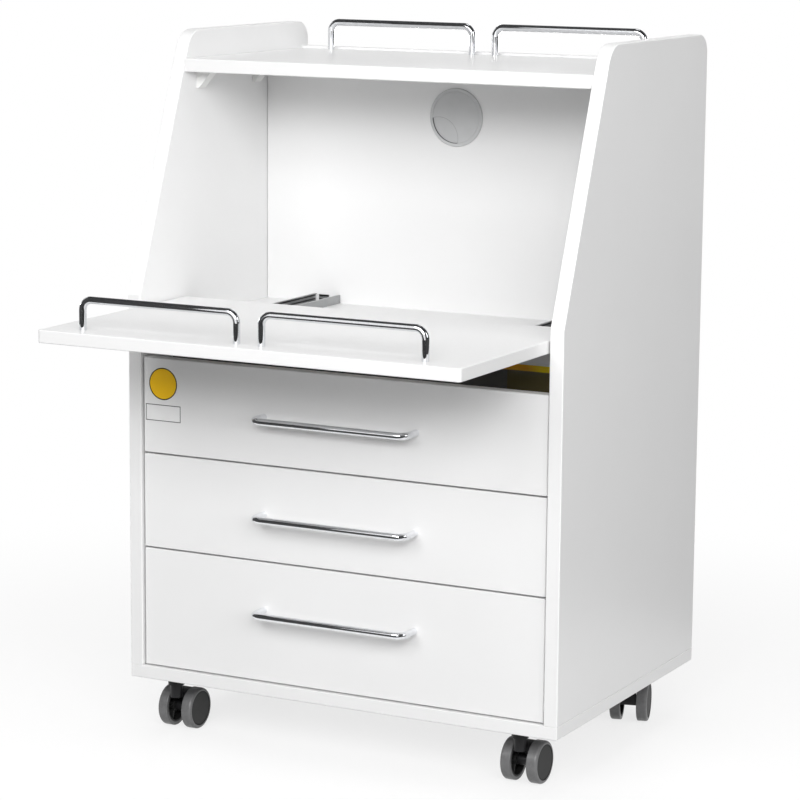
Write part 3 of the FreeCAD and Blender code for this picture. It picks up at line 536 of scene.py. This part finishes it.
def sticker(name, x, z, outline, material):
    """A thin vinyl sticker with a rolled edge on the top drawer's front."""
    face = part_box("drawer_1_front")[0].y
    rings = [[(x + a * scale, face - proud * STICKER_T, z + b * scale) for a, b in outline]
             for scale, proud in STICKER_PROFILE]
    vertices, faces = rings_to_mesh(rings)
    add_piece(name, vertices, faces, material, "drawer_1")


def vinyl(name, colour, ink, printed):
    """Vinyl of one colour with ink where printed(shader), a mask, is 1."""
    shader = Shader(name)
    patch = shader.noise(70, detail=3, seed=4.4)
    field = shader.ramp(patch, tint(colour, 0.97), colour)
    shader.drive(Base_Color=shader.mix(printed(shader), field, ink))
    shader.drive(Roughness=shader.vary(patch, 0.30, 0.38))
    shader.bump(shader.noise(600, detail=2, seed=1.9), depth=0.00001)
    return shader.material


DOT_X, DOT_Z, DOT_R = -0.2265, 0.4130, 0.0185
DOT_POINTS = 64
DOT_LINE = 0.0012  # width of the ring printed at the dot's edge
LABEL_X, LABEL_Z, LABEL_W, LABEL_H = -0.2265, 0.3795, 0.0470, 0.0200
LABEL_CORNER = 0.0012
FRAME_INSET, FRAME_LINE = 0.0006, 0.0009


def dot_ring(shader):
    return shader.above(shader.radius((DOT_X, 0, DOT_Z), ALONG_Y), DOT_R - DOT_LINE)


def label_frame(shader):
    fields = []
    for inset in (FRAME_INSET, FRAME_INSET + FRAME_LINE):
        half_w, half_h = LABEL_W / 2 - inset, LABEL_H / 2 - inset
        fields.append(shader.inside((LABEL_X - half_w, -1, LABEL_Z - half_h),
                                    (LABEL_X + half_w, 1, LABEL_Z + half_h)))
    return shader.math("SUBTRACT", *fields)


sticker("colour_code_dot", DOT_X, DOT_Z,
        [(DOT_R * math.cos(turn), DOT_R * math.sin(turn)) for turn in turns(DOT_POINTS)],
        vinyl("yellow_vinyl", (0.97, 0.57, 0.006), (0.02, 0.015, 0.01), dot_ring))
sticker("blank_label", LABEL_X, LABEL_Z, rounded_outline(LABEL_W, LABEL_H, LABEL_CORNER),
        vinyl("white_vinyl", (0.86, 0.86, 0.86), (0.05, 0.05, 0.05), label_frame))

SCREW_R, SCREW_H = 0.0036, 0.0019
SCREW_POINTS = 48
RECESS_REACH, RECESS_HALF = SCREW_R * 0.62, SCREW_R * 0.17  # an arm of the cross
# scale of the outline and share of the screw's height, from the seat to the recess's floor
HEAD_PROFILE = ((1.0, 0.0), (1.0, 0.35), (0.95, 0.66), (0.84, 0.88), (0.70, 1.0))
RECESS_PROFILE = ((1.0, 1.0), (0.82, 0.35))
SHARP_EDGE = math.radians(35)


def head_outline(_turn):
    return SCREW_R


def recess_outline(turn):
    """Distance from the middle to the outline of the cross recess in this direction."""
    across, along = sorted((abs(math.cos(turn)), abs(math.sin(turn))))
    return min(RECESS_REACH / along, RECESS_HALF / max(across, 1e-6))


def pan_head(name, seat, facing, body):
    """A pan-head screw with a cross recess; its seat is in the plane that it is driven into."""
    facing = Vector(facing).normalized()
    side = facing.orthogonal().normalized()
    other = facing.cross(side)
    rings = []
    for outline, profile in ((head_outline, HEAD_PROFILE), (recess_outline, RECESS_PROFILE)):
        for scale, lift in profile:
            ring = []
            for turn in turns(SCREW_POINTS):
                reach = outline(turn) * scale
                ring.append(Vector(seat) + side * (reach * math.cos(turn))
                            + other * (reach * math.sin(turn)) + facing * (lift * SCREW_H))
            rings.append(ring)
    vertices, faces = rings_to_mesh(rings)
    piece = add_piece(name, vertices, faces, SCREW_METAL, body, smooth=True)
    edges = piece.modifiers.new("edges", "EDGE_SPLIT")
    edges.split_angle = SHARP_EDGE


WIRE_R = 0.004


def wire_ends(node):
    """Name and X of the middle of each end of a bent wire."""
    low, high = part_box(node)
    return ("left", low.x + WIRE_R), ("right", high.x - WIRE_R)


PLATE_SCREW = 0.014  # metres from the castor's stem, each way
PLATE_UNDER = 0.065  # height of the undersides of the castors' plates
DOWN = (0, 0, -1)
for joint in frame["joints"]:
    if joint["name"].endswith("_swivel"):
        x, y, _ = joint["pos_m"]
        for sx in (-1, 1):
            for sy in (-1, 1):
                seat = x + sx * PLATE_SCREW, y + sy * PLATE_SCREW, PLATE_UNDER
                pan_head(f"{joint['child']}_screw_{sx + 1}{sy + 1}", seat, DOWN, "carcass")
for drawer in ("drawer_1", "drawer_2", "drawer_3"):
    low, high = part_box(drawer + "_handle")
    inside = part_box(drawer + "_front")[1].y
    for end, x in wire_ends(drawer + "_handle"):
        pan_head(f"{drawer}_handle_screw_{end}", (x, inside, (low.z + high.z) / 2), ALONG_Y, drawer)
for rail, board, body in (("worktop_rail_left", "worktop_board", "worktop"),
                          ("worktop_rail_right", "worktop_board", "worktop"),
                          ("top_rail_left", "top_panel", "carcass"),
                          ("top_rail_right", "top_panel", "carcass")):
    low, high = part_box(rail)
    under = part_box(board)[0].z
    for end, x in wire_ends(rail):
        pan_head(f"{rail}_screw_{end}", (x, (low.y + high.y) / 2, under), DOWN, body)


# ---------------------------------------------------------------- floor, light and backdrop
def seen_rays(tree, *kinds):
    """1 for the named kinds of ray and 0 for the rest."""
    path = tree.nodes.new("ShaderNodeLightPath")
    value = path.outputs[kinds[0]]
    for kind in kinds[1:]:
        either = tree.nodes.new("ShaderNodeMath")
        either.operation = "MAXIMUM"
        tree.links.new(value, either.inputs[0])
        tree.links.new(path.outputs[kind], either.inputs[1])
        value = either.outputs[0]
    return value


SHOWN = ("Is Camera Ray", "Is Glossy Ray", "Is Transmission Ray")
PLAIN_WHITE = (1, 1, 1)
FLOOR_GREY = (0.45, 0.45, 0.45)  # what the floor gives back as light
FLOOR_LIFT = 0.74  # share of plain white in the floor as it is seen, near the cabinet
FLOOR_NEAR, FLOOR_FAR = 0.55, 1.3  # metres over which the floor turns to plain white


def floor_paper():
    """Matt white that takes the shadow, and turns to plain white away from the cabinet."""
    shader = Shader("floor_paper")
    seen = seen_rays(shader.tree, *SHOWN)
    shader.drive(Base_Color=shader.mix(seen, FLOOR_GREY, PLAIN_WHITE))
    shader.set(Roughness=1.0, Specular_IOR_Level=0.0)
    far = shader.add("ShaderNodeVectorMath", operation="LENGTH")
    shader.tree.links.new(shader.place, far.inputs[0])
    reach = shader.add("ShaderNodeMapRange", interpolation_type="SMOOTHSTEP")
    for socket, value in (("From Min", FLOOR_NEAR), ("From Max", FLOOR_FAR),
                          ("To Min", FLOOR_LIFT), ("To Max", 1.0)):
        reach.inputs[socket].default_value = value
    shader.link(far, "Value", reach, "Value")
    white = shader.add("ShaderNodeEmission")
    white.inputs["Color"].default_value = (*PLAIN_WHITE, 1)
    mix = shader.add("ShaderNodeMixShader")
    shader.tree.links.new(shader.math("MULTIPLY", reach.outputs["Result"], seen), mix.inputs["Fac"])
    shader.link(shader.principled, "BSDF", mix, 1)
    shader.link(white, "Emission", mix, 2)
    shader.link(mix, "Shader", shader.out, "Surface")
    return shader.material


def build_floor():
    bpy.ops.mesh.primitive_plane_add(size=30, location=(0, 0, 0))
    floor = bpy.context.object
    floor.name = "floor"
    floor.data.materials.append(floor_paper())


def card_black():
    shader = Shader("card_black")
    shader.set(Roughness=0.9, Specular_IOR_Level=0.0)
    fade = shader.noise(1.5, detail=1)
    shader.drive(Base_Color=shader.ramp(fade, (0.07, 0.07, 0.071), (0.09, 0.09, 0.091)))
    return shader.material


def card(name, corner, across, up, window, material):
    """A dark studio card with a four-cornered window, seen only in glossy surfaces."""
    corner, across, up = Vector(corner), Vector(across), Vector(up)
    outer = [(0, 0), (1, 0), (1, 1), (0, 1)]
    points = [corner + across * a + up * b for a, b in (*outer, *window)]
    faces = [(i, (i + 1) % 4, 4 + (i + 1) % 4, 4 + i) for i in range(4)]
    mesh = bpy.data.meshes.new(name)
    mesh.from_pydata(points, [], faces)
    mesh.materials.append(material)
    made = bpy.data.objects.new(name, mesh)
    bpy.context.scene.collection.objects.link(made)
    made.visible_camera = made.visible_diffuse = made.visible_shadow = False
    made.visible_transmission = made.visible_volume_scatter = False


# corner, edge across, edge up, and the window's corners as shares of the two edges
CARDS = {
    "card_front": ((-1.6, -0.9, 0.0), (3.2, 0, 0), (0, 0, 2.2),
                   ((0.37, 0.20), (0.66, 0.20), (0.66, 0.63), (0.325, 0.63))),
    "card_left": ((-1.6, 1.3, 0.0), (0, -2.2, 0), (0, 0, 2.2),
                  ((0.25, 0.25), (0.55, 0.25), (0.55, 0.75), (0.25, 0.75))),
    "card_right": ((1.6, -0.9, 0.0), (0, 2.2, 0), (0, 0, 2.2),
                   ((0.18, 0.32), (0.45, 0.32), (0.45, 0.8), (0.18, 0.8))),
    "card_back": ((1.6, 1.3, 0.0), (-3.2, 0, 0), (0, 0, 2.2),
                  ((0.34, 0.22), (0.97, 0.22), (0.97, 0.77), (0.34, 0.77))),
    "card_top": ((-1.6, -0.9, 2.2), (3.2, 0, 0), (0, 2.2, 0),
                 ((0.42, 0.60), (0.58, 0.60), (0.58, 0.80), (0.42, 0.80))),
    "card_floor": ((-3.0, -3.0, 0.002), (6.0, 0, 0), (0, 6.0, 0),
                   ((0.38, 0.445), (0.62, 0.445), (0.62, 0.61), (0.38, 0.61))),
}


def area_light(name, at, aim, size, power):
    data = bpy.data.lights.new(name, "AREA")
    data.shape = "RECTANGLE"
    data.size, data.size_y = size
    data.energy = power
    lamp = bpy.data.objects.new(name, data)
    lamp.location = at
    lamp.rotation_euler = (Vector(aim) - Vector(at)).to_track_quat("-Z", "Y").to_euler()
    bpy.context.scene.collection.objects.link(lamp)


AIM = (0, 0, 0.45)
# place, what it points at, width and height in metres, and watts
LAMPS = {
    "front_high": ((-0.3, -3.3, 2.35), AIM, (2.2, 1.7), 53),
    "front_low": ((1.1, -3.2, 1.75), AIM, (1.2, 0.9), 40),
    "right_high": ((2.4, -3.0, 2.3), AIM, (1.5, 1.5), 47),
    "right_middle": ((3.1, -1.8, 1.35), AIM, (1.6, 1.6), 29),
    "right_side": ((3.4, -0.3, 1.6), AIM, (2.0, 2.0), 26),
    "overhead": ((0, -0.3, 3.2), (0, 0, 0), (2.5, 2.5), 34),
    "left_side": ((-3.3, 0.9, 0.5), AIM, (1.8, 0.7), 36),
    "back": ((-0.9, 3.5, 0.5), AIM, (1.6, 0.7), 48),
}
SKY_STRENGTH = 0.06


def build_sky():
    """A plain grey that gives a little light, and white where it is seen or mirrored."""
    world = bpy.data.worlds.new("studio")
    bpy.context.scene.world = world
    world.use_nodes = True
    tree = world.node_tree
    tree.nodes.clear()
    light = tree.nodes.new("ShaderNodeBackground")
    light.inputs["Color"].default_value = (*PLAIN_WHITE, 1)
    light.inputs["Strength"].default_value = SKY_STRENGTH
    shown = tree.nodes.new("ShaderNodeBackground")
    shown.inputs["Color"].default_value = (*PLAIN_WHITE, 1)
    shown.inputs["Strength"].default_value = 1.0
    mix = tree.nodes.new("ShaderNodeMixShader")
    out = tree.nodes.new("ShaderNodeOutputWorld")
    tree.links.new(seen_rays(tree, *SHOWN), mix.inputs["Fac"])
    tree.links.new(light.outputs[0], mix.inputs[1])
    tree.links.new(shown.outputs[0], mix.inputs[2])
    tree.links.new(mix.outputs[0], out.inputs["Surface"])


build_floor()
build_sky()
black = card_black()
for name, (corner, across, up, window) in CARDS.items():
    card(name, corner, across, up, window, black)
for name, (at, aim, size, power) in LAMPS.items():
    area_light(name, at, aim, size, power)
bpy.context.scene.view_settings.view_transform = "Standard"
